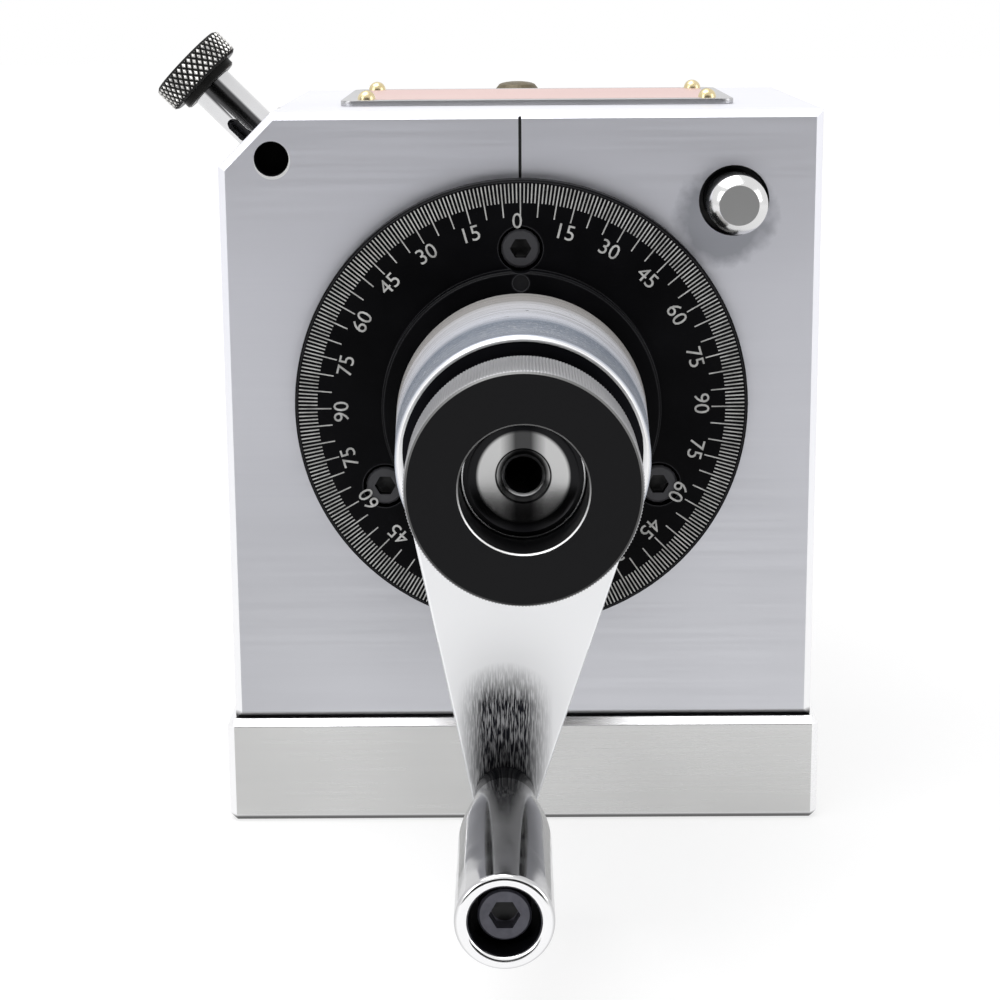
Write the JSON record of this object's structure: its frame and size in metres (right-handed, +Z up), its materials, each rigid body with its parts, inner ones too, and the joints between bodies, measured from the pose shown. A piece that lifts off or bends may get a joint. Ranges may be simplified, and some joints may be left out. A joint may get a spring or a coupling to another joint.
{
  "type": "punch former",
  "caption": "Indexing grinding fixture: upright block with a hollow spindle, graduated dial, index plunger, crank, and a V-block with clamp on a dovetail slide.",
  "frame": {"origin": "on the base's underside, below the spindle axis, midway along the body", "axes": "+Z up, +Y along the spindle from the crank to the V-block, +X to the right as seen from the crank"},
  "size_m": [0.1217, 0.2821, 0.1462],
  "materials": {
    "ground_base": "satin ground",
    "ground_body": "satin ground",
    "polished_steel": "polished",
    "ground_work": "ground",
    "black_oxide": "black oxide",
    "screw_black": "black oxide",
    "chrome": "polished chrome",
    "brass": "plain",
    "bronze": "bearing bronze",
    "plate": "matt",
    "olive": "yellowed zinc",
    "spring": "spring wire"
  },
  "bodies": {
    "housing": {"base_plate": "ground_base", "housing_block": "ground_body", "base_screws": "screw_black", "front_bush": "bronze", "rear_bush": "bronze", "bush_screws": "screw_black", "stop_pin": "polished_steel", "nameplate": "plate", "nameplate_screws": "brass", "plunger_bush": "polished_steel", "plunger_spring": "spring", "dog_screw": "screw_black"},
    "spindle_group": {"spindle": "ground_work", "crank_key": "ground_work", "index_wheel": "ground_work", "thrust_washer": "bronze", "dial": "black_oxide", "dial_screws": "screw_black", "dial_set_screw": "screw_black", "crank": "chrome", "crank_washer": "black_oxide", "knurled_nut": "black_oxide", "grip_axle": "screw_black", "slide_base": "ground_work", "slide_base_screws": "screw_black", "gib": "bronze", "gib_screws": "screw_black", "screw_bracket": "ground_work", "bracket_screws": "screw_black"},
    "grip_sleeve": {"grip": "chrome"},
    "plunger": {"plunger_pin": "polished_steel"},
    "plunger_turn": {"plunger_sleeve": "polished_steel", "plunger_knob": "polished_steel"},
    "v_slide": {"v_block": "ground_work", "clamp_yoke": "black_oxide", "yoke_screws": "screw_black"},
    "adjuster": {"adjust_screw": "screw_black"},
    "clamp": {"clamp_screw": "olive", "clamp_pad": "polished_steel"}
  },
  "joints": [
    {"name": "spindle_turn", "type": "hinge", "parent": "housing", "child": "spindle_group", "pos_m": [0, 0, 0.08], "axis": [0, 1, 0], "continuous": true},
    {"name": "grip_spin", "type": "hinge", "parent": "spindle_group", "child": "grip_sleeve", "pos_m": [-0.0032, -0.12, 0.02449], "axis": [0, 1, 0], "continuous": true},
    {"name": "plunger_pull", "type": "slide", "parent": "housing", "child": "plunger", "axis": [0.7071, 0, -0.7071], "range_m": [0, 0.007]},
    {"name": "knob_turn", "type": "hinge", "parent": "plunger", "child": "plunger_turn", "pos_m": [-0.05, -0.027, 0.13], "axis": [-0.7071, 0, 0.7071], "range_deg": [0, 30.5]},
    {"name": "slide_adjust", "type": "slide", "parent": "spindle_group", "child": "v_slide", "axis": [0, 0, 1], "range_m": [-0.008, 0.008]},
    {"name": "adjust_turn", "type": "hinge", "parent": "spindle_group", "child": "adjuster", "pos_m": [0, 0.0691, 0.04], "axis": [0, 0, 1], "range_deg": [-2890, 2890]},
    {"name": "clamp_travel", "type": "slide", "parent": "v_slide", "child": "clamp", "axis": [0, 0, -1], "range_m": [-0.008, 0.0095]}
  ],
  "couplings": [
    {"joint": "knob_turn", "follows": "plunger_pull", "rad_per_m": 74.8},
    {"joint": "adjust_turn", "follows": "slide_adjust", "rad_per_m": -6283.2}
  ]
}
